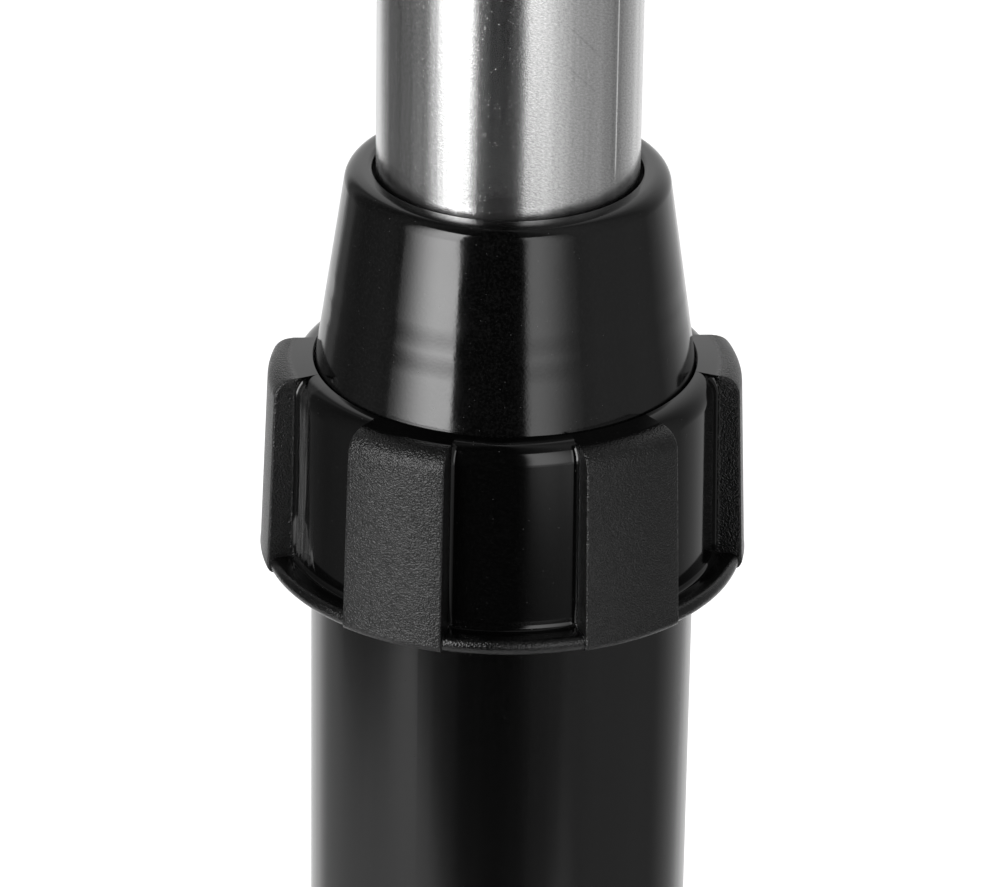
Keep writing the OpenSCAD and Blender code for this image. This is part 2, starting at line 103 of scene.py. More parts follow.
# softboxes: bearing of the middle, width, lowest and highest edge, level at each side, the
# share of the width over which it changes, the soft share at the left edge, and how the
# level rises with height
softboxes = {
    "keySoftbox": {"bearing": -51.3, "width": 0.60, "low": -0.10, "high": 1.10,
                   "left": 0.6, "right": 7.2, "fade": (0.0, 0.70), "edge": 0.02,
                   "rise": [(-0.05, 0), (-0.02, 0.10), (0.08, 0.12), (0.13, 0.68),
                            (0.18, 0.98), (0.23, 1), (0.32, 0.8), (1.1, 0.9)]},
    "fillSoftbox": {"bearing": 28.5, "width": 0.50, "low": -0.10, "high": 1.10,
                    "left": 1.95, "right": 0.14, "fade": (0.2, 1.0), "edge": 0.12,
                    "rise": [(-0.06, 0), (-0.03, 0.35), (0.08, 0.38), (0.13, 0.70),
                             (0.18, 0.98), (0.32, 1)]},
    "lowSoftbox": {"bearing": 46, "width": 0.46, "low": -0.06, "high": 0.10,
                   "left": 0.42, "right": 0.14, "fade": (0.3, 1.0), "edge": 0.2,
                   "rise": [(-0.06, 0), (-0.04, 1), (0.07, 1), (0.10, 0)]},
}


def deselectAll():
    bpy.ops.object.select_all(action="DESELECT")


def remap(tree, value, low, high, newLow, newHigh):
    node = tree.nodes.new("ShaderNodeMapRange")
    node.inputs["From Min"].default_value = low
    node.inputs["From Max"].default_value = high
    node.inputs["To Min"].default_value = newLow
    node.inputs["To Max"].default_value = newHigh
    tree.links.new(value, node.inputs["Value"])
    return node.outputs["Result"]


def combine(tree, operation, first, second):
    node = tree.nodes.new("ShaderNodeMath")
    node.operation = operation
    for socket, value in zip(node.inputs, (first, second)):
        if isinstance(value, (int, float)):
            socket.default_value = value
        else:
            tree.links.new(value, socket)
    return node.outputs[0]


# grey stops along a colour ramp
def setRamp(ramp, stops):
    steps = ramp.color_ramp.elements
    for place, level in stops[1:-1]:
        steps.new(place)
    for step, (place, level) in zip(steps, stops):
        step.position = place
        step.color = (level, level, level, 1)


def addFloor(setup):
    deselectAll()
    bpy.ops.mesh.primitive_plane_add(size=1)
    floor = bpy.context.object
    floor.name = "studioFloor"
    floor.scale = (setup["floorRight"] - setup["floorLeft"],
                   setup["floorBack"] - setup["floorFront"], 1)
    floor.location = ((setup["floorRight"] + setup["floorLeft"]) / 2,
                      (setup["floorBack"] + setup["floorFront"]) / 2, 0)
    material = bpy.data.materials.new("floorPaper")
    material.use_nodes = True
    tree = material.node_tree
    tree.nodes.clear()
    out = tree.nodes.new("ShaderNodeOutputMaterial")
    mix = tree.nodes.new("ShaderNodeAddShader")
    paper = tree.nodes.new("ShaderNodeBsdfDiffuse")
    paper.inputs["Color"].default_value = (setup["floorColor"],) * 3 + (1,)
    glow = tree.nodes.new("ShaderNodeEmission")
    path = tree.nodes.new("ShaderNodeLightPath")
    place = tree.nodes.new("ShaderNodeNewGeometry")
    split = tree.nodes.new("ShaderNodeSeparateXYZ")
    tree.links.new(place.outputs["Position"], split.inputs[0])
    side = combine(tree, "ABSOLUTE", split.outputs["X"], 0.0)
    front = combine(tree, "MULTIPLY", split.outputs["Y"], -1.0)
    behind = remap(tree, combine(tree, "ARCTAN2", side, front), math.radians(setup["shineFrom"]),
                   math.radians(setup["shineFull"]), 0, setup["floorShine"])
    shine = combine(tree, "MULTIPLY", behind, path.outputs["Is Glossy Ray"])
    seen = combine(tree, "MULTIPLY", path.outputs["Is Camera Ray"], setup["floorGlow"])
    tree.links.new(combine(tree, "ADD", seen, shine), glow.inputs["Strength"])
    tree.links.new(paper.outputs[0], mix.inputs[0])
    tree.links.new(glow.outputs[0], mix.inputs[1])
    tree.links.new(mix.outputs[0], out.inputs["Surface"])
    floor.data.materials.append(material)


def lightRoom(ring):
    world = bpy.data.worlds.new("studioRoom")
    scene.world = world
    world.use_nodes = True
    tree = world.node_tree
    back = tree.nodes["Background"]
    coords = tree.nodes.new("ShaderNodeTexCoord")
    split = tree.nodes.new("ShaderNodeSeparateXYZ")
    tree.links.new(coords.outputs["Generated"], split.inputs[0])
    front = combine(tree, "MULTIPLY", split.outputs["Y"], -1.0)
    bearing = combine(tree, "ARCTAN2", split.outputs["X"], front)
    ramp = tree.nodes.new("ShaderNodeValToRGB")
    setRamp(ramp, [((angle + 180) / 360, level) for angle, level in ring])
    tree.links.new(remap(tree, bearing, -math.pi, math.pi, 0, 1), ramp.inputs[0])
    path = tree.nodes.new("ShaderNodeLightPath")
    white = tree.nodes.new("ShaderNodeMix")
    white.data_type = "RGBA"
    white.inputs["B"].default_value = (1, 1, 1, 1)
    tree.links.new(path.outputs["Is Camera Ray"], white.inputs["Factor"])
    tree.links.new(ramp.outputs["Color"], white.inputs["A"])
    tree.links.new(white.outputs["Result"], back.inputs["Color"])


def addSoftbox(name, box, distance):
    height = box["high"] - box["low"]
    lamp = bpy.data.lights.new(name, "AREA")
    lamp.shape = "RECTANGLE"
    lamp.size = box["width"]
    lamp.size_y = height
    lamp.energy = 4 * box["width"] * height   # level 1 all over before the gradient
    lamp.use_nodes = True
    tree = lamp.node_tree
    glow = tree.nodes["Emission"]
    place = tree.nodes.new("ShaderNodeNewGeometry")
    split = tree.nodes.new("ShaderNodeSeparateXYZ")
    across = tree.nodes.new("ShaderNodeMapRange")
    across.interpolation_type = "SMOOTHSTEP"
    across.inputs["From Min"].default_value = box["fade"][0]
    across.inputs["From Max"].default_value = box["fade"][1]
    across.inputs["To Min"].default_value = box["left"]
    across.inputs["To Max"].default_value = box["right"]
    upward = tree.nodes.new("ShaderNodeValToRGB")
    setRamp(upward, [((z - box["low"]) / height, share) for z, share in box["rise"]])
    tree.links.new(place.outputs["Parametric"], split.inputs[0])
    tree.links.new(split.outputs["X"], across.inputs["Value"])
    tree.links.new(split.outputs["Y"], upward.inputs[0])
    edge = remap(tree, split.outputs["X"], 0, box["edge"], 0, 1)
    level = combine(tree, "MULTIPLY", across.outputs[0], upward.outputs[0])
    tree.links.new(combine(tree, "MULTIPLY", level, edge), glow.inputs["Strength"])
    holder = bpy.data.objects.new(name, lamp)
    scene.collection.objects.link(holder)
    turn = math.radians(box["bearing"])
    holder.location = (distance * math.sin(turn), -distance * math.cos(turn),
                       (box["high"] + box["low"]) / 2)
    inward = Vector((-math.sin(turn), math.cos(turn), 0))
    holder.rotation_mode = "QUATERNION"
    holder.rotation_quaternion = inward.to_track_quat("-Z", "Y")
    holder.visible_camera = False


addFloor(studio)
lightRoom(roomRing)
for name, box in softboxes.items():
    addSoftbox(name, box, studio["lampDistance"])
print("studio lit")

# notes shared by the materials


def startMaterial(name, color, roughness, metallic=0.0):
    material = bpy.data.materials.new(name)
    material.use_nodes = True
    tree = material.node_tree
    shader = tree.nodes["Principled BSDF"]
    shader.inputs["Base Color"].default_value = (*color, 1)
    shader.inputs["Roughness"].default_value = roughness
    shader.inputs["Metallic"].default_value = metallic
    return material, tree, shader


def objectNoise(tree, scale, stretch=(1, 1, 1), detail=2.0, grit=0.5, source=None):
    if source is None:
        source = tree.nodes.new("ShaderNodeTexCoord").outputs["Object"]
    mapping = tree.nodes.new("ShaderNodeMapping")
    mapping.inputs["Scale"].default_value = stretch
    noise = tree.nodes.new("ShaderNodeTexNoise")
    noise.inputs["Scale"].default_value = scale
    noise.inputs["Detail"].default_value = detail
    noise.inputs["Roughness"].default_value = grit
    tree.links.new(source, mapping.inputs["Vector"])
    tree.links.new(mapping.outputs["Vector"], noise.inputs["Vector"])
    return noise.outputs["Fac"]


# a bump, laid over the one under it if there is one
def bumpFrom(tree, height, distance, under=None):
    bump = tree.nodes.new("ShaderNodeBump")
    bump.inputs["Distance"].default_value = distance
    tree.links.new(height, bump.inputs["Height"])
    if under is not None:
        tree.links.new(under, bump.inputs["Normal"])
    return bump.outputs["Normal"]


# noise keeps mostly between 0.3 and 0.7
def spread(tree, noise, low, high):
    return remap(tree, noise, 0.3, 0.7, low, high)


def varyRoughness(tree, shader, noise, middle, swing):
    rough = spread(tree, noise, middle - swing, middle + swing)
    tree.links.new(rough, shader.inputs["Roughness"])


def greyFrom(tree, shader, value):
    color = tree.nodes.new("ShaderNodeCombineColor")
    for channel in color.inputs:
        tree.links.new(value, channel)
    tree.links.new(color.outputs[0], shader.inputs["Base Color"])


# haze and dust on the glossy black pieces
film = {
    "hazeScale": 2900,
    "hazeFrom": 0.42,
    "hazeFull": 0.74,
    "dustScale": 1500,
    "dustSize": 0.12,
}


# a base colour with a faint haze and light specks of dust over it, plus any tone passed in (on
# the nut, a painted highlight streak)
def dustyGrey(tree, shader, look, marks=0.0):
    haze = objectNoise(tree, film["hazeScale"], detail=2.0, grit=0.6)
    haze = remap(tree, haze, film["hazeFrom"], film["hazeFull"], 0, look["haze"])
    dust = specks(tree, film["dustScale"], film["dustSize"], look["dustShare"])
    dust = combine(tree, "MULTIPLY", dust, look["dust"])
    tone = combine(tree, "ADD", combine(tree, "ADD", haze, dust), look["color"])
    greyFrom(tree, shader, combine(tree, "ADD", tone, marks))


# round specks scattered one to a cell, in a share of the cells, and soft at their edge
def specks(tree, cells, size, share):
    coords = tree.nodes.new("ShaderNodeTexCoord")
    cell = tree.nodes.new("ShaderNodeTexVoronoi")
    cell.inputs["Scale"].default_value = cells
    split = tree.nodes.new("ShaderNodeSeparateColor")
    tree.links.new(coords.outputs["Object"], cell.inputs["Vector"])
    tree.links.new(cell.outputs["Color"], split.inputs[0])
    chosen = combine(tree, "LESS_THAN", split.outputs[0], share)
    near = remap(tree, cell.outputs["Distance"], size, size * 0.6, 0, 1)
    return combine(tree, "MULTIPLY", near, chosen)


# 0 below a height and 1 above it, over a soft step
def softStep(tree, height, place, half):
    node = tree.nodes.new("ShaderNodeMapRange")
    node.interpolation_type = "SMOOTHSTEP"
    node.inputs["From Min"].default_value = place - half
    node.inputs["From Max"].default_value = place + half
    tree.links.new(height, node.inputs["Value"])
    return node.outputs["Result"]


# the piece's own X, Y and Z
def objectAxes(tree):
    coords = tree.nodes.new("ShaderNodeTexCoord")
    split = tree.nodes.new("ShaderNodeSeparateXYZ")
    tree.links.new(coords.outputs["Object"], split.inputs[0])
    return split.outputs


def radiusFrom(tree, axes):
    across = combine(tree, "POWER", axes["X"], 2.0)
    along = combine(tree, "POWER", axes["Y"], 2.0)
    return combine(tree, "SQRT", combine(tree, "ADD", across, along), 0.0)


def setMaterial(piece, material):
    piece.data.materials.clear()
    piece.data.materials.append(material)


def dress(node, material):
    for slot in cadNodes[node].material_slots:
        slot.material = material


# modelling helpers
def selectOnly(piece):
    deselectAll()
    piece.select_set(True)
    bpy.context.view_layer.objects.active = piece


# section rows along a rounding, in degrees from straight outwards
def roundRows(radius, height, size, first, last, steps):
    rows = []
    for step in range(steps + 1):
        turn = math.radians(first + (last - first) * step / steps)
        rows.append((radius + size * math.cos(turn), height + size * math.sin(turn)))
    return rows


# a circle extruded from row to row of its section
def turnRows(name, rows, columns):
    deselectAll()
    radius, height = rows[0]
    bpy.ops.mesh.primitive_circle_add(vertices=columns, radius=radius, location=(0, 0, height))
    piece = bpy.context.object
    piece.name = name
    bpy.ops.object.transform_apply(location=True, rotation=False, scale=False)
    bpy.ops.object.mode_set(mode="EDIT")
    bpy.ops.mesh.select_all(action="SELECT")
    for nextRadius, nextHeight in rows[1:]:
        rise = (0, 0, nextHeight - height)
        bpy.ops.mesh.extrude_region_move(TRANSFORM_OT_translate={"value": rise})
        share = nextRadius / radius
        bpy.ops.transform.resize(value=(share, share, 1), center_override=(0, 0, nextHeight))
        radius, height = nextRadius, nextHeight
    bpy.ops.mesh.select_all(action="SELECT")
    bpy.ops.mesh.remove_doubles(threshold=0.000002)
    bpy.ops.mesh.normals_make_consistent(inside=False)
    return piece


# selects the edges or faces that pass the test, in edit mode
def pick(piece, kind, test):
    bpy.ops.mesh.select_mode(type=kind)
    bpy.ops.mesh.select_all(action="DESELECT")
    shape = bmesh.from_edit_mesh(piece.data)
    for part in {"EDGE": shape.edges, "FACE": shape.faces}[kind]:
        if test(part):
            part.select_set(True)
    shape.select_flush_mode()
    bmesh.update_edit_mesh(piece.data)


def middle(part):
    return sum((corner.co for corner in part.verts), Vector()) / len(part.verts)


def radiusOf(place):
    return math.hypot(place.x, place.y)


def weighNormals(piece):
    selectOnly(piece)
    modifier = piece.modifiers.new("weighNormals", "WEIGHTED_NORMAL")
    modifier.keep_sharp = True
    modifier.weight = 80
    bpy.ops.object.modifier_apply(modifier=modifier.name)


# a copy of a CAD node's mesh, merged and shaded smooth, that takes the node's place
def copyOf(node, name, body, smoothAngle=32):
    piece = bpy.data.objects.new(name, cadNodes[node].data.copy())
    scene.collection.objects.link(piece)
    selectOnly(piece)
    bpy.ops.mesh.customdata_custom_splitnormals_clear()
    bpy.ops.object.mode_set(mode="EDIT")
    bpy.ops.mesh.select_all(action="SELECT")
    bpy.ops.mesh.remove_doubles(threshold=0.000004)
    bpy.ops.mesh.tris_convert_to_quads()
    bpy.ops.object.mode_set(mode="OBJECT")
    bpy.ops.object.shade_smooth_by_angle(angle=math.radians(smoothAngle))
    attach(piece, body)
    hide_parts(node)
    return piece


# steel tube
steelLook = {
    "color": (0.72, 0.72, 0.73),
    "roughness": 0.23,
    "roughnessSwing": 0.02,
    "anisotropic": 0.64,
    "anisotropicTurn": 0.25,
    "radius": 0.0175,
    "slant": 0.4,            # how far the brushed lines fall as they go round
    "lineScale": 2200,
    "lineStretch": (1, 1, 1.8),
    "brushing": 0.16,        # how far they lighten and darken the metal
    "streakScale": 560,
    "streakStretch": (1, 1, 0.012),
    "streaks": 0.085,
    "grainScale": 5200,
    "grainStretch": (1, 1, 1.3),
    "grainDepth": 0.000009,
    "pitScale": 3400,
    "pitSize": 0.22,
    "pitShare": 0.16,
    "pitDepth": 0.000008,
    "seamTurn": -37.1,       # degrees from +X to the drawn line down the tube
    "seamHalf": 0.6,
    "seamShine": 0.3,
    "seamRise": 0.00005,
    "seamShade": 0.15,
    "seamShadeEnds": (4, 7),  # where its dark sides fade, in halves of the line
    "seamLow": 0.338,
    "seamFade": 0.002,
    # scratches: turn and height of each end
    "scratches": [(-66.5, 0.3613, -45, 0.3545), (-68.8, 0.3564, -49, 0.3503)],
    "scratchHalf": 0.0003,
    "scratchTaper": 0.3,     # share of its length over which each end fades
    "scratchShade": 0.12,
}


def scratchMarks(tree, arc, height, look):
    marks = 0.0
    for firstTurn, firstHeight, lastTurn, lastHeight in look["scratches"]:
        start = math.radians(firstTurn) * look["radius"]
        end = math.radians(lastTurn) * look["radius"]
        slope = (lastHeight - firstHeight) / (end - start)
        line = combine(tree, "MULTIPLY", arc, slope)
        line = combine(tree, "ADD", line, firstHeight - start * slope)
        off = combine(tree, "ABSOLUTE", combine(tree, "SUBTRACT", height, line), 0.0)
        near = remap(tree, off, look["scratchHalf"], 0, 0, 1)
        taper = (end - start) * look["scratchTaper"]
        grow = remap(tree, arc, start, start + taper, 0, 1)
        stop = remap(tree, arc, end - taper, end, 1, 0)
        near = combine(tree, "MULTIPLY", near, combine(tree, "MULTIPLY", grow, stop))
        marks = combine(tree, "ADD", marks, near)
    return marks


def brushedSteel(look):
    material, tree, shader = startMaterial("brushedSteel", look["color"], look["roughness"], 1.0)
    shader.inputs["Anisotropic"].default_value = look["anisotropic"]
    shader.inputs["Anisotropic Rotation"].default_value = look["anisotropicTurn"]
    tangent = tree.nodes.new("ShaderNodeTangent")
    tangent.direction_type = "RADIAL"
    tangent.axis = "Z"
    tree.links.new(tangent.outputs["Tangent"], shader.inputs["Tangent"])
    # distance round the tube, and height
    axes = objectAxes(tree)
    height = axes["Z"]
    turn = combine(tree, "ARCTAN2", axes["Y"], axes["X"])
    arc = combine(tree, "MULTIPLY", turn, look["radius"])
    fallen = combine(tree, "ADD", height, combine(tree, "MULTIPLY", arc, look["slant"]))
    wrap = tree.nodes.new("ShaderNodeCombineXYZ")
    tree.links.new(arc, wrap.inputs["X"])
    tree.links.new(fallen, wrap.inputs["Z"])
    # short fine lines round the tube on a slant, and soft streaks along it
    lines = objectNoise(tree, look["lineScale"], look["lineStretch"], 3.0, 0.7, wrap.outputs[0])
    streaks = objectNoise(tree, look["streakScale"], look["streakStretch"], 3.0, 0.6)
    grey, streaking = look["color"][0], look["streaks"]
    tone = combine(tree, "ADD", spread(tree, lines, -look["brushing"], look["brushing"]),
                   spread(tree, streaks, grey - streaking, grey + streaking))
    # one bright drawn line between darker sides
    off = combine(tree, "SUBTRACT", turn, math.radians(look["seamTurn"]))
    off = combine(tree, "ABSOLUTE", off, 0.0)
    half = math.radians(look["seamHalf"])
    shine = combine(tree, "MULTIPLY", remap(tree, off, half, half * 0.5, 0, 1), look["seamShine"])
    full, gone = look["seamShadeEnds"]
    shade = combine(tree, "MULTIPLY", remap(tree, off, half * gone, half * full, 0, 1),
                    look["seamShade"])
    above = softStep(tree, height, look["seamLow"], look["seamFade"])
    seam = combine(tree, "MULTIPLY", combine(tree, "SUBTRACT", shine, shade), above)
    ridge = combine(tree, "MULTIPLY", remap(tree, off, half, 0, 0, 1), above)
    marks = combine(tree, "MULTIPLY", scratchMarks(tree, arc, height, look),
                    -look["scratchShade"])
    tone = combine(tree, "ADD", combine(tree, "ADD", tone, seam), marks)
    greyFrom(tree, shader, tone)
    varyRoughness(tree, shader, streaks, look["roughness"], look["roughnessSwing"])
    grain = objectNoise(tree, look["grainScale"], look["grainStretch"], 1.0)
    pits = specks(tree, look["pitScale"], look["pitSize"], look["pitShare"])
    raised = bumpFrom(tree, ridge, look["seamRise"])
    raised = bumpFrom(tree, grain, look["grainDepth"], raised)
    raised = bumpFrom(tree, pits, look["pitDepth"], raised)
    tree.links.new(raised, shader.inputs["Normal"])
    return material


dress("steel_tube", brushedSteel(steelLook))
print("steel tube done")

# nose cone
coneLook = {
    "color": 0.0008,
    "dust": 0.05,
    "dustShare": 0.16,
    "haze": 0.004,
    "roughness": 0.11,
    "roughnessSwing": 0.03,
    "mottleScale": 160,
    "sinkRings": (0.3154, 0.319),    # heights of the shallow moulded rings
    "sinkHalf": 0.0018,
    "sinkDepth": 0.00008,
    "wavesScale": 170,
    "wavesStretch": (1, 1, 0.6),
    "wavesDepth": 0.000010,
    "skinScale": 2600,
    "skinShare": 0.4,
}


# high gloss with shallow sink rings, a slightly wavy skin and a little dust
def glossBlack(look):
    material, tree, shader = startMaterial("coneBlack", (look["color"],) * 3, look["roughness"])
    height = objectAxes(tree)["Z"]
    mottle = objectNoise(tree, look["mottleScale"], detail=3.0)
    varyRoughness(tree, shader, mottle, look["roughness"], look["roughnessSwing"])
    dustyGrey(tree, shader, look)
    rings = 0.0
    for place in look["sinkRings"]:
        rings = combine(tree, "ADD", rings, softStep(tree, height, place, look["sinkHalf"]))
    waves = objectNoise(tree, look["wavesScale"], look["wavesStretch"])
    skin = objectNoise(tree, look["skinScale"], detail=1.0)
    waves = combine(tree, "ADD", waves, combine(tree, "MULTIPLY", skin, look["skinShare"]))
    raised = bumpFrom(tree, rings, look["sinkDepth"])
    raised = bumpFrom(tree, waves, look["wavesDepth"], raised)
    tree.links.new(raised, shader.inputs["Normal"])
    return material


noseCone = copyOf("nose_cone", "noseConeShell", "clamp")
setMaterial(noseCone, glossBlack(coneLook))
weighNormals(noseCone)
print("nose cone done")

# grip nut: radii, heights over its lower face, and roundings
nutShape = {
    "columns": 180,
    "padPhase": 3,             # degrees from +X to the middle of the first pad
    "padSpacing": 60,
    "padHalf": 13,             # degrees from a pad's middle to its side
    "height": 0.0289,
    "topSlope": 6,
    "lip": 0.02566,
    "lipEdge": 0.00015,
    "lipUnder": (0.02592, 0.0271),
    "wallTop": 0.0286,
    "wallDraft": 1,
    "shoulder": 0.003,
    "foot": (0.02984, 0.0031),
    "footRound": 0.0008,
    "ring": (0.03149, 0.0013),
    "ringRound": 0.001,
    "ringUnder": (0.03119, 0.0013),
    "ringBase": 0.0013,
    "padLedge": (0.0271, 0.0279, 0.0287),
    "padTop": 0.03185,
    "padRadius": 0.03289,
    "padRound": 0.0028,
    "padDraft": 2.3,           # degrees that its outside leans
    "padFace": (0.0046, 0.0042, 0.0038, 0.0034, 0.003, 0.0026, 0.0021, 0.0016),
    "padBase": 0.0012,
    "padEdge": 0.0003,
    "padEdgeFrom": 0.0289,     # radius beyond which the pads' edges are softened
    "padFoot": 0.0008,
    "padFootFrom": 0.0275,
    "bore": 0.02715,
    "boreEdge": 0.0008,
    "groove": (0.0222, 0.0233, 0.0006),
    "pocket": (0.02885, 0.0312, 0.0235),
    "pocketHalf": 9,
    "steps": {"shoulder": 12, "foot": 4, "ring": 5, "padTop": 9, "padBase": 6,
              "padEdge": 3, "padFoot": 4},
}
sameSpot = 0.00002             # two places closer than this are one


# section rows of the nut's top, from the sloping ledge over the rounding to the wall
def nutTopRows(shape, wide, size, draft, steps):
    slope = math.radians(shape["topSlope"])
    across = wide - size
    start = across + size * math.sin(slope)
    height = shape["height"] - (start - shape["lip"]) * math.tan(slope) - size * math.cos(slope)
    return roundRows(across, height, size, 90 - shape["topSlope"], draft, steps)


# degrees from the middle of the nearest pad
def fromPad(place):
    spacing = nutShape["padSpacing"]
    turn = math.degrees(math.atan2(place.y, place.x)) - nutShape["padPhase"]
    return abs((turn + spacing / 2) % spacing - spacing / 2)


def buildNut(shape):
    steps = shape["steps"]
    lip = [(shape["lip"], shape["height"] - shape["lipEdge"]),
           (shape["lip"] + shape["lipEdge"], shape["height"])]
    wall = nutTopRows(shape, shape["wallTop"], shape["shoulder"], shape["wallDraft"],
                      steps["shoulder"])
    foot = roundRows(*shape["foot"], shape["footRound"], 180, 270, steps["foot"])
    ring = roundRows(*shape["ring"], shape["ringRound"], 90, 0, steps["ring"])
    ring += roundRows(*shape["ringUnder"], shape["ringBase"], 0, -90, steps["ring"])[1:]
    low, high, deep = shape["groove"]
    bore, boreEdge = shape["bore"], shape["boreEdge"]
    pocketIn, pocketOut, pocketTop = shape["pocket"]
    wallRows = wall + foot + ring
    inside = [(pocketIn, 0), (bore + boreEdge, 0), (bore, boreEdge), (bore, low),
              (bore + deep, low), (bore + deep, high), (bore, high),
              (bore, shape["lipUnder"][1]), shape["lipUnder"], lip[0]]
    rows = [(radius, nutBase + height) for radius, height in lip + wallRows + inside]
    nut = turnRows("gripNutShell", rows, shape["columns"])

    # the pads' section, row for row beside the wall's
    slope = math.tan(math.radians(shape["topSlope"]))
    draft = math.tan(math.radians(shape["padDraft"]))
    ledge = [(radius, shape["height"] - (radius - shape["lip"]) * slope)
             for radius in shape["padLedge"]]
    arc = nutTopRows(shape, shape["padTop"], shape["padRound"], shape["padDraft"],
                     steps["padTop"])
    face = [(shape["padRadius"] - height * draft, height) for height in shape["padFace"]]
    under = roundRows(shape["padRadius"] - shape["padBase"], shape["padBase"], shape["padBase"],
                      0, -90, steps["padBase"])
    padRows = ledge + arc + face + under + [wallRows[-1]]

    # pads: the faces in their sectors are extruded, then drawn out row by row
    places = [(lip[1][0], lip[1][1])] + wallRows
    flat = math.cos(math.pi / shape["columns"])    # middle of a face against its corners
    spans = [((r + q) / 2 * flat, nutBase + (z + y) / 2)
             for (r, z), (q, y) in zip(places, places[1:])]

    def onPad(part):
        place = middle(part)
        if fromPad(place) > shape["padHalf"]:
            return False
        return any(abs(radiusOf(place) - r) < sameSpot and abs(place.z - z) < sameSpot
                   for r, z in spans)

    pick(nut, "FACE", onPad)
    bpy.ops.mesh.extrude_region()
    bpy.ops.mesh.select_mode(type="VERT")
    moves = []
    mesh = bmesh.from_edit_mesh(nut.data)
    drawn = [corner for corner in mesh.verts if corner.select]
    for (r, z), (q, y) in zip(wallRows, padRows):
        row = [corner.index for corner in drawn
               if abs(radiusOf(corner.co) - r) < sameSpot / 2
               and abs(corner.co.z - nutBase - z) < sameSpot / 2]
        moves.append((row, q / r, y - z))
    for row, share, rise in moves:
        bpy.ops.mesh.select_all(action="DESELECT")
        mesh = bmesh.from_edit_mesh(nut.data)
        mesh.verts.ensure_lookup_table()
        for index in row:
            mesh.verts[index].select_set(True)
        bmesh.update_edit_mesh(nut.data)
        bpy.ops.transform.resize(value=(share, share, 1), center_override=(0, 0, 0))
        bpy.ops.transform.translate(value=(0, 0, rise))
    bpy.ops.mesh.select_all(action="SELECT")
    bpy.ops.mesh.remove_doubles(threshold=0.000002)

    # soft edges and feet along the pads' sides
    def onSide(part, rows, firstRadius):
        ends = [corner.co for corner in part.verts]
        if any(abs(fromPad(end) - shape["padHalf"]) > 0.05 for end in ends):
            return False
        if min(radiusOf(end) for end in ends) <= firstRadius:
            return False
        return all(any(abs(radiusOf(end) - r) < sameSpot
                       and abs(end.z - nutBase - z) < sameSpot for r, z in rows)
                   for end in ends)

    edgeRows = ledge + arc + face + under[:3]
    pick(nut, "EDGE", lambda part: onSide(part, edgeRows, shape["padEdgeFrom"]))
    bpy.ops.mesh.bevel(offset=shape["padEdge"], segments=steps["padEdge"], profile=0.5,
                       clamp_overlap=False)
    footRows = wall + foot[:2]
    pick(nut, "EDGE", lambda part: onSide(part, footRows, shape["padFootFrom"]))
    bpy.ops.mesh.bevel(offset=shape["padFoot"], segments=steps["padFoot"], profile=0.5,
                       clamp_overlap=False)

    # pockets that hollow the pads from below
    def underPad(part):
        place = middle(part)
        return (part.normal.z < -0.9 and abs(place.z - nutBase) < sameSpot
                and fromPad(place) < shape["pocketHalf"]
                and pocketIn < radiusOf(place) < pocketOut)

    bpy.ops.mesh.select_all(action="SELECT")
    bpy.ops.mesh.normals_make_consistent(inside=False)
    pick(nut, "FACE", underPad)
    bpy.ops.mesh.extrude_region_move(TRANSFORM_OT_translate={"value": (0, 0, pocketTop)})
    bpy.ops.mesh.select_all(action="SELECT")
    bpy.ops.mesh.normals_make_consistent(inside=False)
    bpy.ops.object.mode_set(mode="OBJECT")
    bpy.ops.object.shade_smooth_by_angle(angle=math.radians(35))
    weighNormals(nut)
    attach(nut, "nut")
    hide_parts("grip_nut")
    return nut


nutLook = {
    "color": 0.0008,
    "dust": 0.05,
    "dustShare": 0.16,
    "haze": 0.0015,
    "glossRoughness": 0.09,
    "grainRoughness": 0.30,
    "grainScale": 4200,
    "grainDepth": 0.00017,
    "padBlend": (0.002, 0.006),          # radians past a pad's side over which grain fades
    "padGrainFrom": (0.0284, 0.0292),    # radii between which it sets in
    "ringGrainFrom": (0.0303, 0.0309),
    "ringShare": 0.5,                    # grain on the ring between the pads
    "highlightTurn": -158.5,                   # degrees from +X to a painted highlight streak beside a pad
    "highlightHalf": 3.2,
    "highlightFlare": 6.0,
    "highlightHeights": (0.0035, 0.0095, 0.026),
    "highlightEnds": (0.0292, 0.0295),         # radii between which it ends
    "highlightBlend": 0.012,
    "highlightHead": 0.002,
    "highlightHeadShare": 0.2,
    "raggedScale": 900,
    "raggedStretch": (1, 1, 0.07),
    "raggedTurn": 0.02,
    "raggedRise": 0.001,
    "streakScale": 2600,
    "streakStretch": (1, 1, 0.04),
    "streakShare": 0.3,
    # how far the painted highlight streak lightens the base colour
    "highlightColor": 0.06,
}


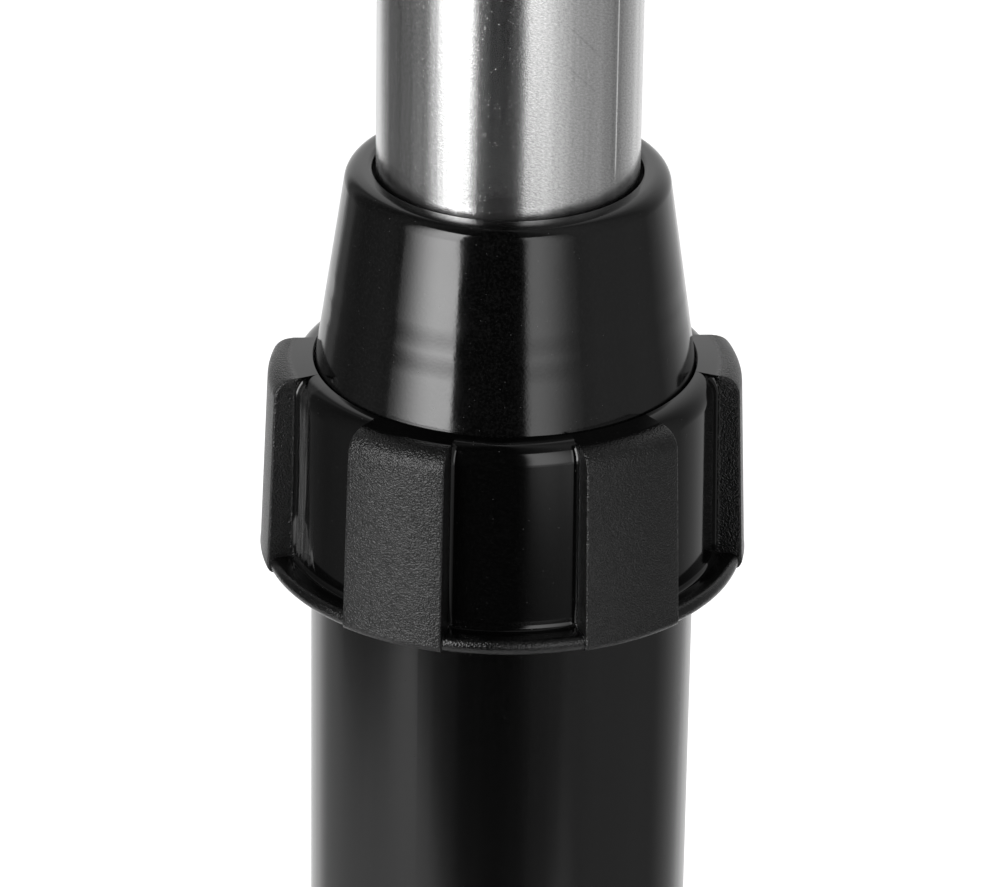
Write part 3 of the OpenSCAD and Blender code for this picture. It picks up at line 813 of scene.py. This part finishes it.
# a painted highlight down the wall beside a pad, wider at its foot: pale colour that stands in
# for the key light's reflection in the pad's foot fillet
def paintedHighlightStreak(tree, look, turn, height):
    off = combine(tree, "SUBTRACT", turn, math.radians(look["highlightTurn"]))
    off = combine(tree, "ABSOLUTE", off, 0.0)
    ragged = objectNoise(tree, look["raggedScale"], look["raggedStretch"], 3.0, 0.6)
    off = combine(tree, "ADD", off, spread(tree, ragged, -look["raggedTurn"], look["raggedTurn"]))
    low, knee, high = [nutBase + height for height in look["highlightHeights"]]
    narrow = math.radians(look["highlightHalf"])
    wide = math.radians(look["highlightHalf"] + look["highlightFlare"])
    half = remap(tree, height, low, knee, wide, narrow)
    inside = remap(tree, combine(tree, "SUBTRACT", half, off), 0, look["highlightBlend"], 0, 1)
    streaks = objectNoise(tree, look["streakScale"], look["streakStretch"])
    streaks = remap(tree, streaks, 0.4, 0.6, look["streakShare"], 1)
    inside = combine(tree, "MULTIPLY", inside, streaks)
    footJitter = spread(tree, ragged, -look["raggedRise"], look["raggedRise"])
    foot = softStep(tree, combine(tree, "ADD", height, footJitter), low, 0.0004)
    head = remap(tree, height, high - look["highlightHead"], high, 1, look["highlightHeadShare"])
    return combine(tree, "MULTIPLY", inside, combine(tree, "MULTIPLY", foot, head))


# grain on the pads and on the ring's edge, gloss on the walls between them, and a painted
# highlight streak on one wall
def nutBlack(look, shape):
    material, tree, shader = startMaterial("nutBlack", (look["color"],) * 3,
                                           look["glossRoughness"])
    axes = objectAxes(tree)
    radius = radiusFrom(tree, axes)
    heading = combine(tree, "ARCTAN2", axes["Y"], axes["X"])
    # a whole turn is added, so that the remainder is never taken of a negative angle
    spacing = math.radians(shape["padSpacing"])
    ahead = 2 * math.pi + spacing / 2 - math.radians(shape["padPhase"])
    turn = combine(tree, "MODULO", combine(tree, "ADD", heading, ahead), spacing)
    turn = combine(tree, "ABSOLUTE", combine(tree, "SUBTRACT", turn, spacing / 2), 0.0)
    half = math.radians(shape["padHalf"])
    blendFrom, blendTo = look["padBlend"]
    sector = remap(tree, turn, half + blendFrom, half + blendTo, 1, 0)
    padFace = remap(tree, radius, *look["padGrainFrom"], 0, 1)
    ringEdge = remap(tree, radius, *look["ringGrainFrom"], 0, 1)
    ringGrain = remap(tree, sector, 0, 1, look["ringShare"], 1)
    ringEdge = combine(tree, "MULTIPLY", ringEdge, ringGrain)
    mask = combine(tree, "MAXIMUM", combine(tree, "MULTIPLY", sector, padFace), ringEdge)
    grain = objectNoise(tree, look["grainScale"], detail=1.0)
    rough = combine(tree, "MULTIPLY", mask, look["grainRoughness"] - look["glossRoughness"])
    rough = combine(tree, "ADD", rough, look["glossRoughness"])
    tree.links.new(rough, shader.inputs["Roughness"])
    # painted highlight: a pale streak laid into the colour where the key light would reflect in a
    # pad's foot fillet
    paintedStreak = combine(tree, "MULTIPLY", paintedHighlightStreak(tree, look, heading, axes["Z"]),
                  remap(tree, radius, *look["highlightEnds"], 1, 0))
    dustyGrey(tree, shader, look, combine(tree, "MULTIPLY", paintedStreak, look["highlightColor"]))
    raised = bumpFrom(tree, combine(tree, "MULTIPLY", grain, mask), look["grainDepth"])
    tree.links.new(raised, shader.inputs["Normal"])
    return material


gripNut = buildNut(nutShape)
setMaterial(gripNut, nutBlack(nutLook, nutShape))
print("grip nut done")

# black tube
tubeLook = {
    "color": 0.0006,
    "dust": 0.03,
    "dustShare": 0.08,
    "haze": 0.002,
    "roughness": 0.17,
    "roughnessSwing": 0.02,
    "drawScale": 420,
    "drawStretch": (1, 1, 0.012),
    "drawDepth": 0.000008,
}


# extruded gloss black with faint draw lines along it
def tubeBlack(look):
    material, tree, shader = startMaterial("tubeBlack", (look["color"],) * 3, look["roughness"])
    streaks = objectNoise(tree, look["drawScale"], look["drawStretch"], 3.0, 0.6)
    varyRoughness(tree, shader, streaks, look["roughness"], look["roughnessSwing"])
    dustyGrey(tree, shader, look)
    tree.links.new(bumpFrom(tree, streaks, look["drawDepth"]), shader.inputs["Normal"])
    return material


dress("outer_tube", tubeBlack(tubeLook))
print("black tube done")

# moulded parts, seals and hardware
mouldings = {
    "collarBlack": {"nodes": ["tool_collar"], "color": (0.006, 0.006, 0.006),
                    "roughness": 0.36, "grain": 1900, "depth": 0.00003},
    "socketBlack": {"nodes": ["thread_socket"], "color": (0.008, 0.008, 0.008),
                    "roughness": 0.40, "grain": 1400, "depth": 0.00002},
    "colletNatural": {"nodes": ["collet"], "color": (0.72, 0.69, 0.60),
                      "roughness": 0.34, "grain": 500, "depth": 0.00001},
    "bushGrey": {"nodes": ["guide_bush"], "color": (0.34, 0.34, 0.35),
                 "roughness": 0.38, "grain": 800, "depth": 0.00001},
    "glideWhite": {"nodes": ["glide_strips"], "color": (0.74, 0.74, 0.71),
                   "roughness": 0.80, "grain": 3200, "depth": 0.00006},
    "rubberBlack": {"nodes": ["skirt_o_ring", "lip_seal", "bump_ring", "collar_o_ring",
                              "wiper_ring"],
                    "color": (0.010, 0.010, 0.010),
                    "roughness": 0.62, "grain": 2400, "depth": 0.00003},
}
hardware = {
    "zincSteel": {"nodes": ["socket_screws", "seal_washer", "slip_washer", "retaining_ring"],
                  "color": (0.56, 0.57, 0.60), "roughness": 0.32, "grain": 900},
    "rivetBlack": {"nodes": ["collar_rivets"], "color": (0.012, 0.012, 0.012),
                   "roughness": 0.30, "grain": 700},
    "rivetAlloy": {"nodes": ["bush_rivets"], "color": (0.70, 0.70, 0.71),
                   "roughness": 0.36, "grain": 1200},
}


# how far a finish strays from its colour and roughness
mouldedSwing = {"darkest": 0.88, "lightest": 1.10, "roughness": 0.04, "cloudScale": 140}
platedSwing = {"darkest": 0.85, "lightest": 1.08, "roughness": 0.06,
               "dentScale": 1400, "dentSize": 0.2, "dentShare": 0.2, "dentDepth": 0.00001}


def varyFinish(tree, shader, noise, look, swing):
    color = tree.nodes.new("ShaderNodeMix")
    color.data_type = "RGBA"
    for socket, share in (("A", swing["darkest"]), ("B", swing["lightest"])):
        color.inputs[socket].default_value = (*[part * share for part in look["color"]], 1)
    tree.links.new(spread(tree, noise, 0, 1), color.inputs["Factor"])
    tree.links.new(color.outputs["Result"], shader.inputs["Base Color"])
    varyRoughness(tree, shader, noise, look["roughness"], swing["roughness"])


# moulded grain, with the colour a little lighter and darker over a few millimetres
def mouldedFinish(name, look):
    material, tree, shader = startMaterial(name, look["color"], look["roughness"])
    cloud = objectNoise(tree, mouldedSwing["cloudScale"], detail=3.0)
    varyFinish(tree, shader, cloud, look, mouldedSwing)
    grain = bumpFrom(tree, objectNoise(tree, look["grain"]), look["depth"])
    tree.links.new(grain, shader.inputs["Normal"])
    return material


# bare or coated metal, mottled by its plating and with fine dents
def hardwareFinish(name, look):
    material, tree, shader = startMaterial(name, look["color"], look["roughness"], 1.0)
    mottle = objectNoise(tree, look["grain"], detail=3.0)
    varyFinish(tree, shader, mottle, look, platedSwing)
    dents = specks(tree, platedSwing["dentScale"], platedSwing["dentSize"],
                   platedSwing["dentShare"])
    tree.links.new(bumpFrom(tree, dents, platedSwing["dentDepth"]), shader.inputs["Normal"])
    return material


for name, look in mouldings.items():
    finish = mouldedFinish(name, look)
    for node in look["nodes"]:
        dress(node, finish)
for name, look in hardware.items():
    finish = hardwareFinish(name, look)
    for node in look["nodes"]:
        dress(node, finish)
print("small parts done")
